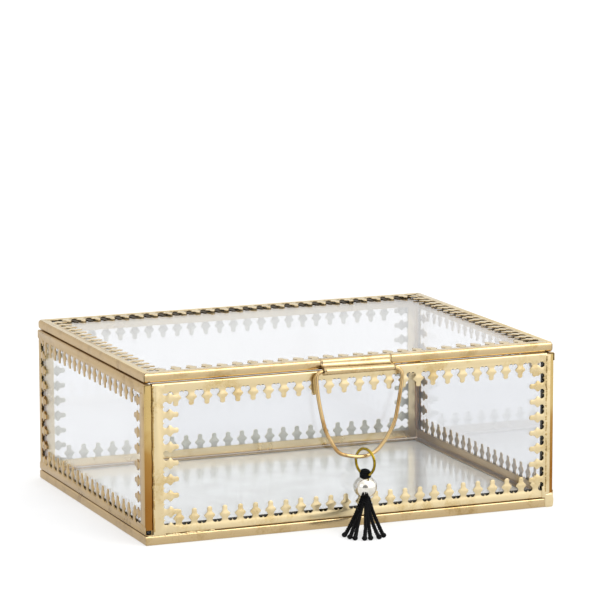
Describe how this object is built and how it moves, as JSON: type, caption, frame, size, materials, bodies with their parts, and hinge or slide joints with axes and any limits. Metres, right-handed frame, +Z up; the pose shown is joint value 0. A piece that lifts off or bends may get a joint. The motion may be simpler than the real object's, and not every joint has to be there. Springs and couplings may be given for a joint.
{
  "type": "jewelry box",
  "caption": "Glass display box with stamped brass edging, mirror base and hinged lid with a wire handle carrying a ring, bead and tassel",
  "frame": {"origin": "middle of the underside of the box, on the felt face it rests on", "axes": "+Z up, the front with the handle faces -Y, +X to the right as seen from the front"},
  "size_m": [0.2, 0.1839, 0.0781],
  "materials": {
    "brass": "stamped sheet brass, satin",
    "brass_wire": "drawn wire, polished",
    "ring_brass": "aged olive-yellow brass",
    "clear_glass": "clear float glass",
    "mirror": "silvered glass",
    "felt": "black felt",
    "silver": "polished silver-coloured bead",
    "black_cord": "black twisted cord"
  },
  "bodies": {
    "box": {"base_rail_front": "brass", "base_rail_back": "brass", "base_rail_left": "brass", "base_rail_right": "brass", "base_mirror": "mirror", "base_felt": "felt", "front_glass": "clear_glass", "front_strip_bottom": "brass", "front_strip_top": "brass", "front_strip_left": "brass", "front_strip_right": "brass", "back_glass": "clear_glass", "back_strip_bottom": "brass", "back_strip_top": "brass", "back_strip_left": "brass", "back_strip_right": "brass", "left_glass": "clear_glass", "left_strip_bottom": "brass", "left_strip_top": "brass", "left_strip_left": "brass", "left_strip_right": "brass", "right_glass": "clear_glass", "right_strip_bottom": "brass", "right_strip_top": "brass", "right_strip_left": "brass", "right_strip_right": "brass", "hinge_knuckle_left": "brass", "hinge_knuckle_right": "brass", "hinge_pin": "brass"},
    "lid": {"lid_glass": "clear_glass", "lid_rail_front": "brass", "lid_rail_back": "brass", "lid_rail_left": "brass", "lid_rail_right": "brass", "hinge_knuckle_lid": "brass", "handle_sleeve": "brass"},
    "handle": {"handle_loop": "brass_wire"},
    "ring": {"jump_ring": "ring_brass"},
    "charm": {"thread_knot": "black_cord", "bead": "silver", "tassel": "black_cord"}
  },
  "joints": [
    {"name": "lid_hinge", "type": "hinge", "parent": "box", "child": "lid", "pos_m": [0, 0.077, 0.07245], "axis": [-1, 0, 0], "range_deg": [0, 110]},
    {"name": "handle_swing", "type": "hinge", "parent": "lid", "child": "handle", "pos_m": [0.0015, -0.077, 0.0722], "axis": [-1, 0, 0], "range_deg": [0, 185]},
    {"name": "ring_swing", "type": "hinge", "parent": "handle", "child": "ring", "pos_m": [0.0024, -0.08189, 0.03351], "axis": [-1, 0, 0], "range_deg": [0, 80]},
    {"name": "charm_swing", "type": "hinge", "parent": "ring", "child": "charm", "pos_m": [0.0024, -0.08189, 0.02491], "axis": [0.3746, -0.9272, 0], "range_deg": [-20, 20]}
  ]
}
